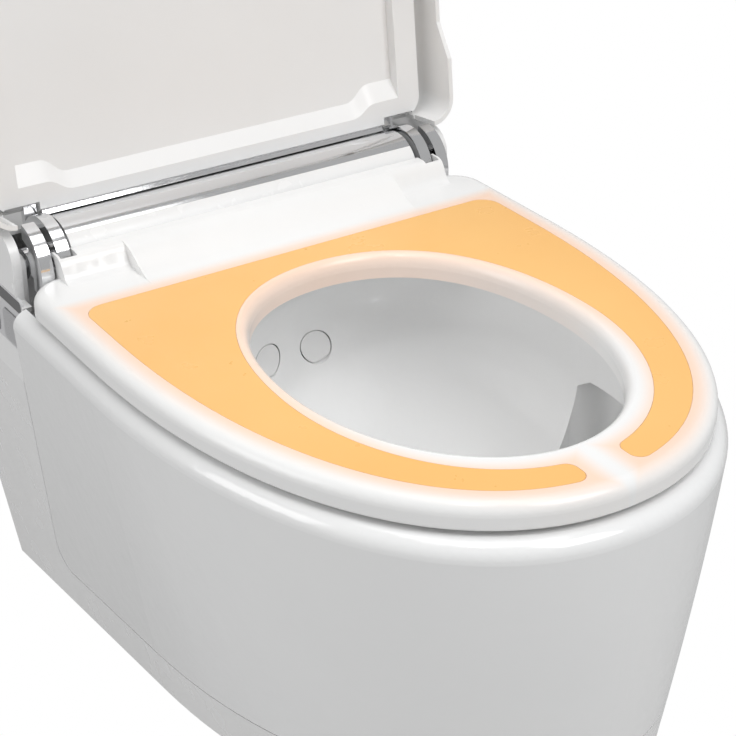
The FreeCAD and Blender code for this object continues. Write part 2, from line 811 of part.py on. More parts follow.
def seat_base():
    """Lower closing plate of the seat."""
    plate = prism(seat_plan(seat_bottom, seat_shell + 0.2), seat_base_thickness)
    plate = soften(plate, seat_corner - seat_shell - 0.2, upright)
    plate = plate.cut(prism(hole_outline(seat_bottom - 1.0, seat_shell + 0.2), seat_base_thickness + 2.0))
    return plate.cut(box(-reach, reach, arm_block_rear - 0.2, reach, 0.0, reach))


def heater_mat():
    """Heating foil stuck under the seat top."""
    high = seat_top - seat_shell
    return zone_form(3.0, high - mat_thickness, mat_thickness, 4.0)


def arm_lug(grow):
    """Bar of a seat arm that runs into the seat."""
    return box(seat_strap_start - grow, seat_strap_end + grow, -206.0 - grow, hinge_y - 16.0,
               seat_top - 14.0 - grow, seat_top - 5.0 + grow)


def seat_arm():
    """Polished arm: hub on the shaft, curved band and lug into the seat."""
    band = arc_band(seat_strap_start, seat_strap_end, strap_inner, strap_outer, 95.0, 196.0)
    web = arc_band(seat_strap_start, seat_strap_end, hub_radius - 2.0, strap_inner + 1.0, 128.0, 196.0)
    hub = hinge_rod(seat_strap_start, seat_strap_end, hub_radius)
    arm = hub.fuse([web, band, arm_lug(0.0)])
    return arm.cut(hinge_rod(100.0, 200.0, shaft_radius + shaft_clearance))


def pads(places, radius, low, high):
    """Round buffers at several places, on both sides."""
    buffers = []
    for x, y in places:
        for side in (-1, 1):
            buffers.append(rod(radius, V(side * x, y, low), UP, high - low))
    return Part.makeCompound(buffers)


# ---- lid, drawn closed --------------------------------------------------

def lid_form(inset, low):
    """Outer form of the lid, moved in by an inset."""
    high = seat_top + lid_high - inset
    rear = lid_lobe_rear - inset
    plate = prism(d_outline(low, lid_half_width - inset, rear, lid_tip + inset), high - low)
    plate = soften(plate, lid_corner - inset, upright)
    plate = soften(plate, lid_round - inset, lambda edge: level(edge, high))
    middle = box(-slot_start + inset, slot_start - inset, rear - 26.0, lid_middle_rear - inset, seat_top + lid_band, high)
    middle = soften(middle, lid_round - inset - 0.5, lambda edge: level(edge, high)
                    and abs(edge.CenterOfMass.y - lid_middle_rear + inset) < 0.01)
    return plate.fuse(middle)


def lid_clearance():
    """Room the lid leaves for the barrel, its rail and the arms."""
    middle = hinge_rod(-slot_start, slot_start, rail_outer)
    notch = hinge_clear(lid_notch_radius, slot_start, lid_notch_end)
    length = lid_lobe_start - lid_notch_end
    slant = Part.makeCone(lid_notch_radius, rail_inner, length, V(lid_notch_end, hinge_y, hinge_z), ACROSS)
    below = box(-lid_lobe_start, lid_lobe_start, lid_lobe_rear - 34.0, 0.0, 0.0, seat_top + lid_band)
    return middle.fuse([notch, both_sides(slant), below])


def lid_shell():
    """Outer shell of the lid."""
    hollow = lid_form(lid_wall, seat_top + lid_low - 1.0)
    low = seat_top + lid_low
    front_low = seat_top + lid_skirt_rise
    skirt = side_prism([(lid_skirt_rear, low), (lid_skirt_front, front_low), (-reach, front_low), (-reach, 0.0),
                        (lid_skirt_rear, 0.0)], -reach, reach)
    return lid_form(0.0, low).cut(hollow).cut([skirt, lid_clearance(), both_sides(tongue(0.2))])


def panel_plan(z, inset):
    """Outline of the inner panel moved in."""
    return d_outline(z, panel_half_width - inset, lid_lobe_rear - lid_wall - inset, panel_tip + inset)


def recess_outline(z, step_y, pad_y):
    """Outline of the lid recess. At each arm its rear edge steps forward in an S."""
    wide = panel_half_width - panel_border
    near = lid_pad_start - lid_pad_turn
    far = lid_pad_start + lid_pad_turn
    turns = []
    for side in (-1, 1):
        curve = Part.BezierCurve()
        curve.setPoles([V(side * far, pad_y, z), V(side * lid_pad_start, pad_y, z),
                        V(side * lid_pad_start, step_y, z), V(side * near, step_y, z)])
        turns.append(curve.toShape())
    edges = [Part.makeLine(V(wide, pad_y, z), V(wide, straight_end, z))]
    edges += half_oval(wide, straight_end, panel_tip + panel_border, nose_power, z)
    edges += [
        Part.makeLine(V(-wide, straight_end, z), V(-wide, pad_y, z)),
        Part.makeLine(V(-wide, pad_y, z), V(-far, pad_y, z)),
        turns[0],
        Part.makeLine(V(-near, step_y, z), V(near, step_y, z)),
        turns[1],
        Part.makeLine(V(far, pad_y, z), V(wide, pad_y, z)),
    ]
    return Part.Wire(edges)


def lid_recess_form(low):
    """Recess of the inner panel, from just below its border up to its floor."""
    outlines = []
    for share in (-0.2, 1.0):
        outlines.append(recess_outline(low + share * lid_recess, lid_step_y - share * lid_step_slope,
                                       lid_pad_y - share * lid_pad_slope))
    return Part.makeLoft(outlines, True, True)


def lid_panel():
    """Inner panel: flat border all round and a shallow recess."""
    low = seat_top + lid_band
    high = seat_top + lid_high - lid_wall
    panel = prism(panel_plan(low, 0.0), high - low)
    panel = soften(panel, lid_corner - 4.0, upright)
    middle = box(-slot_start + lid_wall, slot_start - lid_wall, lid_lobe_rear - 20.0, lid_middle_rear, low, high - 10.5)
    panel = panel.fuse(middle)
    floor = low + lid_recess
    wide = panel_half_width - panel_border - panel_sheet
    tip = panel_tip + panel_border + panel_sheet
    upper = prism(d_outline(floor + panel_sheet, wide, lid_pad_y - 20.0, tip), 60.0)
    over = lid_clearance().cut(box(-reach, reach, -reach, reach, -reach, low))
    panel = panel.cut([lid_recess_form(low), upper, over])
    panel = panel.common(lid_form(lid_wall, seat_top + lid_low - 1.0))
    return panel.cut(both_sides(tongue(0.2)))


def lid_rail():
    """Curved rail along the rear edge of the lid, round the barrel."""
    return arc_band(-barrel_half_length, barrel_half_length, rail_inner, rail_outer, rail_start, rail_end)


def tongue(grow):
    """Flat bar of a lid arm let into the lid panel."""
    return box(lid_strap_start - grow, lid_strap_end + grow, tongue_end - grow, hinge_y - 16.0,
               seat_top + tongue_low - grow, seat_top + tongue_high + grow)


def lid_arm():
    """Polished arm: hub on the shaft, curved band through the seat slot, tongue into the lid."""
    band = arc_band(lid_strap_start, lid_strap_end, strap_inner, strap_outer, 126.0, 262.0)
    web = arc_band(lid_strap_start, lid_strap_end, hub_radius - 2.0, strap_inner + 1.0, 150.0, 262.0)
    hub = hinge_rod(lid_strap_start, lid_strap_end, hub_radius)
    arm = hub.fuse([web, band, tongue(0.0)])
    return arm.cut(hinge_rod(100.0, 200.0, shaft_radius + shaft_clearance))


# ---- spray and dryer arms -----------------------------------------------

def arm_tube(x):
    """Sliding tube of an arm."""
    start, way = arm_way(x)
    tube = rod(arm_radius, start - way * arm_length, way, arm_length - arm_cap_depth)
    bore = rod(arm_radius - 1.5, start - way * (arm_length + 1.0), way, arm_length - arm_cap_depth - 3.0)
    return tube.cut(bore)


def arm_cap(x):
    """Round cap that closes the hole, flush with the bowl wall."""
    start, way = arm_way(x)
    cap = rod(arm_cap_radius, start - way * arm_cap_depth, way, 2.0 * arm_cap_depth)
    return cap.cut(bowl_form(0.0, rim_top + 0.01))


def arm_guides():
    """Both guide tubes and the bridge that rests on the deck."""
    body = box(-deck_opening - 9.0, deck_opening + 9.0, guide_bridge_y - 4.0, guide_bridge_y, tray_top, tray_top + 6.0)
    web = box(-deck_opening + 1.0, deck_opening - 1.0, guide_bridge_y - 4.0, guide_bridge_y, 54.0, tray_top + 6.0)
    body = body.fuse(web)
    for side in (-1, 1):
        start, way = arm_way(side * arm_offset)
        body = body.fuse(rod(guide_radius, start - way * (guide_start + guide_length), way, guide_length))
    for side in (-1, 1):
        start, way = arm_way(side * arm_offset)
        body = body.cut(rod(guide_bore, start - way * 160.0, way, 170.0))
    return body


def arm_motor(side):
    """Geared motor beside a guide tube."""
    x = side * (arm_offset + 40.0)
    body = box(x - 10.0, x + 10.0, -86.0, -62.0, tray_top, tray_top + 26.0)
    body = soften(body, 2.0, upright)
    shaft = rod(4.0, V(x - side * 10.0, -74.0, tray_top + 16.0), ACROSS * -side, 8.0)
    return body.fuse(shaft)


# ---- water and air ------------------------------------------------------

def boiler():
    """Water heater tank."""
    body = box(-146.0, -100.0, -94.0, -30.0, tray_top, tray_top + 44.0)
    body = soften(body, 8.0, upright)
    neck = rod(6.0, V(-123.0, -30.0, tray_top + 20.0), V(0, 1, 0), 6.0)
    return body.fuse(neck)


def pump():
    """Small water pump."""
    body = rod(13.0, V(-94.0, -50.0, tray_top + 13.0), ACROSS, 18.0)
    foot = box(-94.0, -76.0, -60.0, -40.0, tray_top, tray_top + 8.0)
    return body.fuse(foot)


def inlet_valve():
    """Solenoid valve on the water inlet."""
    body = box(-96.0, -74.0, -36.0, -16.0, tray_top, tray_top + 24.0)
    coil = rod(8.0, V(-85.0, -26.0, tray_top + 24.0), UP, 16.0)
    return body.fuse(coil)


def water_inlet():
    """Water connection at the wall side."""
    body = rod(7.0, V(-85.0, -16.0, tray_top + 12.0), V(0, 1, 0), 9.8)
    return body.cut(rod(4.5, V(-85.0, -17.0, tray_top + 12.0), V(0, 1, 0), 20.0))


def blower():
    """Radial blower for the dryer."""
    body = rod(24.0, V(98.0, -62.0, tray_top), UP, 30.0)
    mouth = box(74.0, 98.0, -86.0, -64.0, tray_top, tray_top + 24.0)
    eye = rod(10.0, V(98.0, -62.0, tray_top + 20.0), UP, 20.0)
    return body.fuse(mouth).cut(eye)


def odour_filter():
    """Carbon filter cartridge."""
    body = box(126.0, 146.0, -94.0, -50.0, tray_top, tray_top + 34.0)
    return soften(body, 3.0, upright)


def odour_fan():
    """Flat fan behind the carbon filter."""
    body = box(124.0, 148.0, -48.0, -10.0, tray_top, tray_top + 38.0)
    return body.cut(rod(14.0, V(136.0, -29.0, tray_top + 24.0), UP, 20.0))


def control_board():
    """Circuit board standing on edge."""
    board = box(56.0, 118.0, -14.0, -12.4, tray_top, tray_top + 40.0)
    chip = box(70.0, 84.0, -16.0, -14.0, tray_top + 14.0, tray_top + 28.0)
    return board.fuse([chip, box(94.0, 110.0, -22.0, -14.0, tray_top, tray_top + 12.0)])


def power_supply():
    """Mains power supply in its box."""
    body = box(152.0, 178.0, -94.0, -20.0, tray_top, tray_top + 34.0)
    return soften(body, 2.0, upright)


def mains_inlet():
    """Socket for the mains cord."""
    body = box(154.0, 178.0, -20.0, -6.0, tray_top, tray_top + 22.0)
    return body.cut(rod(5.0, V(166.0, -12.0, tray_top + 12.0), V(0, 1, 0), 10.0))


def fixing_sleeves():
    """Rubber sleeves in the wall bolt holes."""
    sleeves = []
    for side in (-1, 1):
        x = side * bolt_spacing / 2.0
        sleeve = rod(bolt_hole_radius - 0.1, V(x, -back_plate - 2.0, 0), V(0, 1, 0), back_plate + 2.0)
        flange = rod(bolt_hole_radius + 4.0, V(x, -back_plate - 3.0, 0), V(0, 1, 0), 3.0)
        hole = rod(stud_radius, V(x, -back_plate - 4.0, 0), V(0, 1, 0), back_plate + 8.0)
        sleeves.append(sleeve.fuse(flange).cut(hole))
    return Part.makeCompound(sleeves)


node = {}


def keep(name, shape):
    """Keep a finished piece under its name."""
    node[name] = plain(shape)
    return node[name]


def half(shape, side):
    """The part of a shape on one side of the middle, with half the joint line."""
    near = 0.15
    return shape.common(box(min(side * near, side * reach), max(side * near, side * reach), -reach, reach, -reach, reach))


keep("ceramic_bowl", ceramic_bowl())
covers = side_covers()
left_cover = half(covers, -1).cut(panel_box(panel_depth, 5.0, 0.0))
for number in range(button_count):
    left_cover = left_cover.cut(button_box(number, button_gap, -cover_half_width - 2.0, -cover_half_width + 8.0))
keep("side_cover_left", left_cover)
keep("side_cover_right", half(covers, 1))
keep("cover_screws", cover_screws())
plate = panel_box(panel_depth, 0.0, -panel_edge).cut(window_box(window_depth, panel_edge))
for number in range(button_count):
    plate = plate.cut(button_box(number, button_gap, -cover_half_width - 2.0, -cover_half_width + 8.0))
    keep("button_" + str(number + 1), panel_button(number))
keep("panel_plate", plate)
keep("panel_window", window_box(window_depth, 0.0).common(panel_box(panel_depth, 0.0, -panel_edge)))
keep("rear_housing", rear_housing())
keep("hinge_trim", hinge_trim())
keep("hinge_shaft", hinge_shaft())
keep("seat_damper", damper(96.0, 136.0))
keep("lid_damper", damper(-136.0, -96.0))
keep("top_cover", top_cover())
seat_form = seat_shell_form()
keep("seat_top", seat_form.cut(behind_seat_break(0.0)))
seat_back = seat_form.common(behind_seat_break(0.0))
keep("seat_strip", seat_back.common(between(slot_start)))
keep("seat_ends", seat_back.cut(between(slot_end)))
keep("seat_base", seat_base())
keep("heating_zone", zone_form(zone_line, seat_top - zone_depth, zone_depth))
keep("heater_mat", heater_mat())
keep("seat_arm_right", seat_arm())
keep("seat_arm_left", mirrored(seat_arm()))
keep("seat_bumpers", pads([(155.0, -250.0), (126.0, -480.0)], pad_radius, rim_top + rest_gap, seat_bottom))
keep("lid_shell", opened(lid_shell()))
keep("lid_panel", opened(lid_panel()))
keep("lid_rail", opened(lid_rail()))
keep("lid_arm_right", opened(lid_arm()))
keep("lid_arm_left", opened(mirrored(lid_arm())))
keep("lid_bumpers", opened(pads([(172.0, -292.0), (155.5, -430.0)], lid_pad_radius, seat_top + rest_gap, seat_top + lid_band)))
keep("spray_tube", arm_tube(-arm_offset))
keep("dryer_tube", arm_tube(arm_offset))
keep("spray_cap", arm_cap(-arm_offset))
keep("dryer_cap", arm_cap(arm_offset))
keep("arm_guides", arm_guides())
keep("spray_motor", arm_motor(-1))
keep("dryer_motor", arm_motor(1))
keep("boiler", boiler())
keep("pump", pump())
keep("inlet_valve", inlet_valve())
keep("water_inlet", water_inlet())
keep("blower", blower())
keep("odour_filter", odour_filter())
keep("odour_fan", odour_fan())
keep("control_board", control_board())
keep("power_supply", power_supply())
keep("mains_inlet", mains_inlet())
keep("fixing_sleeves", fixing_sleeves())

for name in node:
    shape = node[name]
    shape.exportStep("parts/" + name + ".step")
    print(name, shape.isValid(), len(shape.Solids), round(shape.Volume / 1000.0, 1), shape.BoundBox)
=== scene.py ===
import math

import bpy
from mathutils import Matrix, Vector

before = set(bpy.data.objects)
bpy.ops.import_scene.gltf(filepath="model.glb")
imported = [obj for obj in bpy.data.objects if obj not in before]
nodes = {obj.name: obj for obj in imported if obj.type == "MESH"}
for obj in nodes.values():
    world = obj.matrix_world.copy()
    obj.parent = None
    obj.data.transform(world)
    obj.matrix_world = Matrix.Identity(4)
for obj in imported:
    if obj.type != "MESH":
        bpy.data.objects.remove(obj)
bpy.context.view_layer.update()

# ---- camera --------------------------------------------------------------
# In front of the left corner of the toilet, above the seat and looking down on
# it, as in the photograph. The focal length is in pixels of the picture.

picture_width = 736.0
focal_length = 1817.0
film_width = 36.0
nearest = 0.05
camera_place = Vector((-0.607, -1.230, 0.676))
turn = math.radians(33.49)
dip = math.radians(29.21)

camera_data = bpy.data.cameras.new("camera")
camera_data.sensor_width = film_width
camera_data.lens = focal_length / picture_width * film_width
camera_data.clip_start = nearest
camera = bpy.data.objects.new("camera", camera_data)
bpy.context.scene.collection.objects.link(camera)
right = Vector((math.cos(turn), -math.sin(turn), 0.0))
forward = Vector((math.sin(turn) * math.cos(dip), math.cos(turn) * math.cos(dip), -math.sin(dip)))
above = right.cross(forward)
camera.matrix_world = Matrix((
    (right.x, above.x, -forward.x, camera_place.x),
    (right.y, above.y, -forward.y, camera_place.y),
    (right.z, above.z, -forward.z, camera_place.z),
    (0.0, 0.0, 0.0, 1.0),
))
bpy.context.scene.camera = camera
bpy.context.scene.view_settings.view_transform = "Standard"

# ---- floor, backdrop and lights --------------------------------------------
# A sheet of pale studio paper below the toilet, with soft boxes round it and a
# narrow lamp aimed into the bowl. Paper and room look white to the camera.

white = (1.0, 1.0, 1.0, 1.0)
room_strength = 0.48
paper_tone = (0.6, 0.6, 0.6, 1.0)
paper_roughness = 0.9
floor_reach = 4.0
floor_level = -0.40


def white_behind(tree, surface):
    """Show plain white to the camera and the surface to everything else."""
    path = tree.nodes.new("ShaderNodeLightPath")
    seen = tree.nodes.new("ShaderNodeMath")
    seen.operation = "MAXIMUM"
    tree.links.new(path.outputs["Is Camera Ray"], seen.inputs[0])
    tree.links.new(path.outputs["Is Transmission Ray"], seen.inputs[1])
    kind = "ShaderNodeBackground" if surface.type == "BACKGROUND" else "ShaderNodeEmission"
    glow = tree.nodes.new(kind)
    glow.inputs["Color"].default_value = white
    glow.inputs["Strength"].default_value = 1.0
    mix = tree.nodes.new("ShaderNodeMixShader")
    tree.links.new(seen.outputs[0], mix.inputs[0])
    tree.links.new(surface.outputs[0], mix.inputs[1])
    tree.links.new(glow.outputs[0], mix.inputs[2])
    return mix


world = bpy.data.worlds.new("studio")
bpy.context.scene.world = world
world.use_nodes = True
tree = world.node_tree
room = tree.nodes["Background"]
room.inputs["Color"].default_value = white
room.inputs["Strength"].default_value = room_strength
tree.links.new(white_behind(tree, room).outputs[0], tree.nodes["World Output"].inputs[0])

floor_data = bpy.data.meshes.new("floor")
floor_corners = [(across * floor_reach, along * floor_reach, floor_level)
                 for across, along in ((-1, -1), (1, -1), (1, 1), (-1, 1))]
floor_data.from_pydata(floor_corners, [], [(0, 1, 2, 3)])
floor = bpy.data.objects.new("floor", floor_data)
bpy.context.scene.collection.objects.link(floor)
paper = bpy.data.materials.new("studio_paper")
paper.use_nodes = True
tree = paper.node_tree
matt = tree.nodes["Principled BSDF"]
matt.inputs["Base Color"].default_value = paper_tone
matt.inputs["Roughness"].default_value = paper_roughness
tree.links.new(white_behind(tree, matt).outputs[0], tree.nodes["Material Output"].inputs[0])
floor_data.materials.append(paper)


def hang_lamp(name, kind, place, target, power):
    """Lamp of a kind that looks at a point."""
    data = bpy.data.lights.new(name, kind)
    data.energy = power
    lamp = bpy.data.objects.new(name, data)
    bpy.context.scene.collection.objects.link(lamp)
    lamp.location = place
    way = Vector(target) - Vector(place)
    lamp.rotation_euler = way.to_track_quat("-Z", "Y").to_euler()
    return data


def soft_light(name, place, target, size, power):
    """Square softbox that looks at a point."""
    hang_lamp(name, "AREA", place, target, power).size = size


soft_light("overhead_softbox", place=(-0.1, -0.6, 2.2), target=(0.0, -0.35, 0.0),
           size=1.6, power=15.0)
soft_light("front_softbox", place=(0.6, -2.2, 2.3), target=(0.0, -0.1, 0.3),
           size=1.3, power=30.0)
soft_light("left_softbox", place=(-2.2, 0.2, 0.9), target=(0.0, -0.1, 0.0),
           size=1.2, power=10.0)

snoot = hang_lamp("bowl_snoot", "SPOT", place=(-0.45, -0.95, 1.65),
                  target=(0.0, -0.39, 0.10), power=30.0)
snoot.spot_size = math.radians(9.0)
snoot.spot_blend = 0.5
snoot.shadow_soft_size = 0.12

# ---- glazed ceramic --------------------------------------------------------
# One casting of vitreous china under a clear glaze. The glaze pulls thin over
# the edges and lies in a faint orange peel.

even = (1.0, 1.0, 1.0)


def new_finish(name, colour, roughness):
    """Material with its main shader set to a colour and a roughness."""
    material = bpy.data.materials.new(name)
    material.use_nodes = True
    shader = material.node_tree.nodes["Principled BSDF"]
    shader.inputs["Base Color"].default_value = (*colour, 1.0)
    shader.inputs["Roughness"].default_value = roughness
    return material, shader


def speckle(material, scale, detail, stretch=even):
    """Noise over the piece in metres, squeezed along an axis by its stretch."""
    tree = material.node_tree
    place = tree.nodes.new("ShaderNodeTexCoord")
    spread = tree.nodes.new("ShaderNodeMapping")
    spread.inputs["Scale"].default_value = stretch
    tree.links.new(place.outputs["Object"], spread.inputs["Vector"])
    noise = tree.nodes.new("ShaderNodeTexNoise")
    noise.inputs["Scale"].default_value = scale
    noise.inputs["Detail"].default_value = detail
    tree.links.new(spread.outputs["Vector"], noise.inputs["Vector"])
    return noise.outputs["Fac"]


def spread_value(material, noise, low, high, noise_low=0.3, noise_high=0.7):
    """Bring the middle of a noise to a range of values."""
    ranged = material.node_tree.nodes.new("ShaderNodeMapRange")
    ranged.inputs["From Min"].default_value = noise_low
    ranged.inputs["From Max"].default_value = noise_high
    ranged.inputs["To Min"].default_value = low
    ranged.inputs["To Max"].default_value = high
    material.node_tree.links.new(noise, ranged.inputs["Value"])
    return ranged.outputs["Result"]


def relief(material, shader, height, depth, strength=0.5):
    """Bump of a depth in metres from a height."""
    bump = material.node_tree.nodes.new("ShaderNodeBump")
    bump.inputs["Strength"].default_value = strength
    bump.inputs["Distance"].default_value = depth
    material.node_tree.links.new(height, bump.inputs["Height"])
    material.node_tree.links.new(bump.outputs["Normal"], shader.inputs["Normal"])


def blended(material, factor, first, second):
    """Colour between two colours by a factor."""
    mix = material.node_tree.nodes.new("ShaderNodeMix")
    mix.data_type = "RGBA"
    mix.inputs["A"].default_value = (*first, 1.0)
    mix.inputs["B"].default_value = (*second, 1.0)
    material.node_tree.links.new(factor, mix.inputs["Factor"])
    return mix.outputs["Result"]


def surface(material, shader, tones, tone_scale, gloss, gloss_scale, texture_scale, depth,
            stretch=even):
    """Tone drift, handling marks in the gloss, and a fine texture."""
    links = material.node_tree.links
    drift = spread_value(material, speckle(material, tone_scale, detail=2.0), 0.0, 1.0)
    links.new(blended(material, drift, *tones), shader.inputs["Base Color"])
    marks = speckle(material, gloss_scale, detail=4.0, stretch=stretch)
    links.new(spread_value(material, marks, *gloss), shader.inputs["Roughness"])
    texture = speckle(material, texture_scale, detail=2.0, stretch=stretch)
    relief(material, shader, texture, depth)


def dress(material, *names):
    """Give CAD nodes their material."""
    for name in names:
        data = nodes[name].data
        data.materials.clear()
        data.materials.append(material)


glaze, shader = new_finish("glazed_china", colour=(0.88, 0.88, 0.88), roughness=0.12)
shader.inputs["Coat Weight"].default_value = 0.7
shader.inputs["Coat Roughness"].default_value = 0.04
surface(glaze, shader, tones=((0.89, 0.892, 0.89), (0.86, 0.864, 0.865)), tone_scale=5.0,
        gloss=(0.10, 0.18), gloss_scale=22.0, texture_scale=85.0, depth=0.0003)
dress(glaze, "ceramic_bowl")

# ---- side covers and housing -------------------------------------------------
# Moulded white plastic, polished in the tool. The covers slide on from the
# sides and are screwed to the back of the ceramic.

moulded, shader = new_finish("moulded_white", colour=(0.84, 0.84, 0.84), roughness=0.24)
surface(moulded, shader, tones=((0.86, 0.86, 0.858), (0.83, 0.83, 0.828)), tone_scale=9.0,
        gloss=(0.20, 0.30), gloss_scale=40.0, texture_scale=900.0, depth=0.00004)
dress(moulded, "side_cover_left", "side_cover_right", "rear_housing", "top_cover")

# ---- seat ------------------------------------------------------------------
# Two moulded shells of thermoset plastic, closed round the heating foil. Round
# the zone, a pink glow is painted into the white, fading out from the zone's edge.

# The zone is a horseshoe over the seat: an outer oval that runs straight on
# behind its turn, an inner oval round a centre, and a break at the front.
zone_half_width = 0.170
zone_turn = -0.278
zone_length = 0.295
zone_rear = -0.220
zone_inner_half_width = 0.119
zone_inner_half_length = 0.154
zone_inner_centre = -0.400
zone_break = 0.017
zone_roundness = 2.2
break_steepness = 10.0
# Painted glow round the heating zone: its width and its pink colour.
painted_glow_width = 0.016
painted_glow_tone = (0.95, 0.70, 0.55, 1.0)


def reckon(material, operation, first, second=0.0):
    """One step of arithmetic in a material."""
    step = material.node_tree.nodes.new("ShaderNodeMath")
    step.operation = operation
    for socket, value in zip(step.inputs, (first, second)):
        if isinstance(value, float):
            socket.default_value = value
        else:
            material.node_tree.links.new(value, socket)
    return step.outputs[0]


def oval_distance(material, across, along, half_width, half_length):
    """Distance outside an oval, below nought inside it."""
    wide = reckon(material, "POWER",
                  reckon(material, "DIVIDE", across, half_width), zone_roundness)
    far = reckon(material, "POWER",
                 reckon(material, "DIVIDE", along, half_length), zone_roundness)
    share = reckon(material, "POWER", reckon(material, "ADD", wide, far), 1.0 / zone_roundness)
    square = reckon(material, "ADD", reckon(material, "MULTIPLY", across, across),
                    reckon(material, "MULTIPLY", along, along))
    length = reckon(material, "SQRT", square)
    return reckon(material, "SUBTRACT", length, reckon(material, "DIVIDE", length, share))


def zone_distance(material):
    """Distance outside the heating zone, seen from above the seat."""
    tree = material.node_tree
    place = tree.nodes.new("ShaderNodeTexCoord")
    split = tree.nodes.new("ShaderNodeSeparateXYZ")
    tree.links.new(place.outputs["Object"], split.inputs[0])
    across = reckon(material, "ABSOLUTE", split.outputs["X"])
    along = split.outputs["Y"]
    ahead = reckon(material, "MAXIMUM", reckon(material, "SUBTRACT", zone_turn, along), 0.0)
    outer = oval_distance(material, across, ahead, zone_half_width, zone_length)
    behind = reckon(material, "SUBTRACT", along, zone_rear)
    from_centre = reckon(material, "SUBTRACT", along, zone_inner_centre)
    inner = oval_distance(material, across, reckon(material, "ABSOLUTE", from_centre),
                          zone_inner_half_width, zone_inner_half_length)
    inside = reckon(material, "MULTIPLY", inner, -1.0)
    front = reckon(material, "MULTIPLY",
                   reckon(material, "SUBTRACT", zone_inner_centre, along), break_steepness)
    gap = reckon(material, "MINIMUM", reckon(material, "SUBTRACT", zone_break, across), front)
    return reckon(material, "MAXIMUM", reckon(material, "MAXIMUM", outer, behind),
                  reckon(material, "MAXIMUM", inside, gap))


seat_skin, shader = new_finish("seat_plastic", colour=(0.87, 0.87, 0.865), roughness=0.2)
surface(seat_skin, shader, tones=((0.88, 0.88, 0.875), (0.86, 0.86, 0.855)), tone_scale=8.0,
        gloss=(0.16, 0.24), gloss_scale=30.0, texture_scale=700.0, depth=0.00003)
links = seat_skin.node_tree.links
# Painted glow: the pink colour is mixed into the seat colour near the zone.
painted_glow_fade = seat_skin.node_tree.nodes.new("ShaderNodeMapRange")
painted_glow_fade.interpolation_type = "SMOOTHSTEP"
painted_glow_fade.inputs["From Min"].default_value = painted_glow_width
painted_glow_fade.inputs["From Max"].default_value = 0.0
links.new(zone_distance(seat_skin), painted_glow_fade.inputs["Value"])
painted_glow_mix = seat_skin.node_tree.nodes.new("ShaderNodeMix")
painted_glow_mix.data_type = "RGBA"
painted_glow_mix.inputs["B"].default_value = painted_glow_tone
links.new(painted_glow_fade.outputs["Result"], painted_glow_mix.inputs["Factor"])
links.new(shader.inputs["Base Color"].links[0].from_socket, painted_glow_mix.inputs["A"])
links.new(painted_glow_mix.outputs["Result"], shader.inputs["Base Color"])
dress(seat_skin, "seat_top", "seat_strip", "seat_ends")

seat_under, shader = new_finish("seat_underside", colour=(0.84, 0.84, 0.835), roughness=0.3)
surface(seat_under, shader, tones=((0.85, 0.85, 0.845), (0.82, 0.82, 0.815)), tone_scale=8.0,
        gloss=(0.26, 0.36), gloss_scale=30.0, texture_scale=700.0, depth=0.00005)
dress(seat_under, "seat_base")

# ---- heating zone ------------------------------------------------------------
# Film flush in the seat top. Its amber colour and faint emission are a painted
# glow of the heated area; its tone drifts a little paler in places.

warm, shader = new_finish("painted_glow_film", colour=(0.81, 0.45, 0.13), roughness=0.3)
# Painted glow: emission on a film that is no lamp.
shader.inputs["Emission Color"].default_value = (1.0, 0.60, 0.30, 1.0)
shader.inputs["Emission Strength"].default_value = 0.11
surface(warm, shader, tones=((0.81, 0.44, 0.125), (0.82, 0.475, 0.15)), tone_scale=7.0,
        gloss=(0.26, 0.36), gloss_scale=35.0, texture_scale=600.0, depth=0.00003)
dress(warm, "heating_zone")

# ---- lid -------------------------------------------------------------------
# Outer shell of polished thermoset plastic, with a satin inner panel pressed
# into it.

lid_skin, shader = new_finish("lid_plastic", colour=(0.87, 0.87, 0.865), roughness=0.2)
surface(lid_skin, shader, tones=((0.88, 0.88, 0.875), (0.86, 0.86, 0.855)), tone_scale=8.0,
        gloss=(0.16, 0.24), gloss_scale=30.0, texture_scale=700.0, depth=0.00003)
dress(lid_skin, "lid_shell")

liner, shader = new_finish("lid_liner", colour=(0.86, 0.86, 0.86), roughness=0.32)
surface(liner, shader, tones=((0.87, 0.87, 0.868), (0.85, 0.85, 0.848)), tone_scale=8.0,
        gloss=(0.28, 0.38), gloss_scale=30.0, texture_scale=1100.0, depth=0.00006)
dress(liner, "lid_panel")

# ---- hinge metal -----------------------------------------------------------
# Arms, rail and trim of the hinge: zinc castings, polished and chrome plated,
# with faint polishing lines. The shaft in them and the cover screws are steel.

plated, shader = new_finish("chrome_plate", colour=(0.80, 0.80, 0.81), roughness=0.08)
shader.inputs["Metallic"].default_value = 1.0
surface(plated, shader, tones=((0.80, 0.80, 0.81), (0.76, 0.765, 0.775)), tone_scale=12.0,
        gloss=(0.06, 0.13), gloss_scale=60.0, texture_scale=420.0, depth=0.00002,
        stretch=(1.0, 6.0, 6.0))
dress(plated, "hinge_trim", "lid_rail",
      "seat_arm_left", "seat_arm_right", "lid_arm_left", "lid_arm_right")

steel, shader = new_finish("ground_steel", colour=(0.55, 0.55, 0.56), roughness=0.25)
shader.inputs["Metallic"].default_value = 1.0
surface(steel, shader, tones=((0.56, 0.56, 0.57), (0.50, 0.50, 0.51)), tone_scale=20.0,
        gloss=(0.2, 0.32), gloss_scale=90.0, texture_scale=500.0, depth=0.00003,
        stretch=(8.0, 1.0, 1.0))
dress(steel, "hinge_shaft", "cover_screws")

# ---- control panel ---------------------------------------------------------
# Satin plastic plate let into the left cover, with a black glossy window along
# its top and three push buttons finished in silver.

